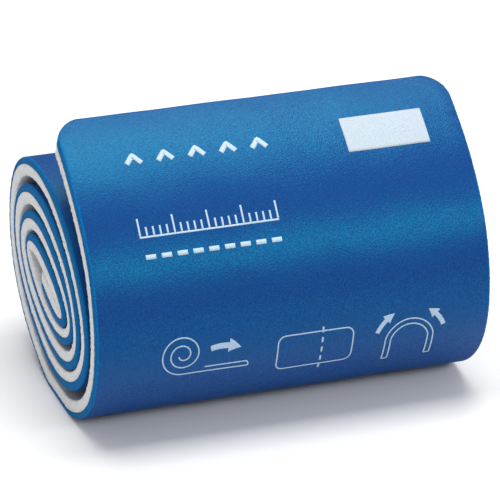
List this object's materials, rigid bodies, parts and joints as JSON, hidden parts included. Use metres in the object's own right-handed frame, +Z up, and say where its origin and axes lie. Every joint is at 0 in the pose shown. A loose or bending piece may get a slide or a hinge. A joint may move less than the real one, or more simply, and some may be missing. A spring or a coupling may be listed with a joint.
{
  "type": "padded splint",
  "caption": "Mouldable padded splint: a long foam strip with rounded ends, blue outside and white inside, rolled into a flat-cored coil with its loose end on top.",
  "frame": {"origin": "middle of the roll's bounding box, on the surface it rests on", "axes": "+X along the roll's width, from its left end to its right one; +Y to its back; +Z up. The roll is seen from its front, -Y, and the loose end lies on top and points to +Y"},
  "size_m": [0.103, 0.073, 0.0728],
  "materials": {
    "blue_foam": "closed-cell foam, finely grained, soft satin",
    "white_foam": "closed-cell foam, matt, finely porous at its cut edges"
  },
  "bodies": {
    "root": {"blue_foam": "blue_foam", "white_foam": "white_foam"}
  },
  "joints": []
}
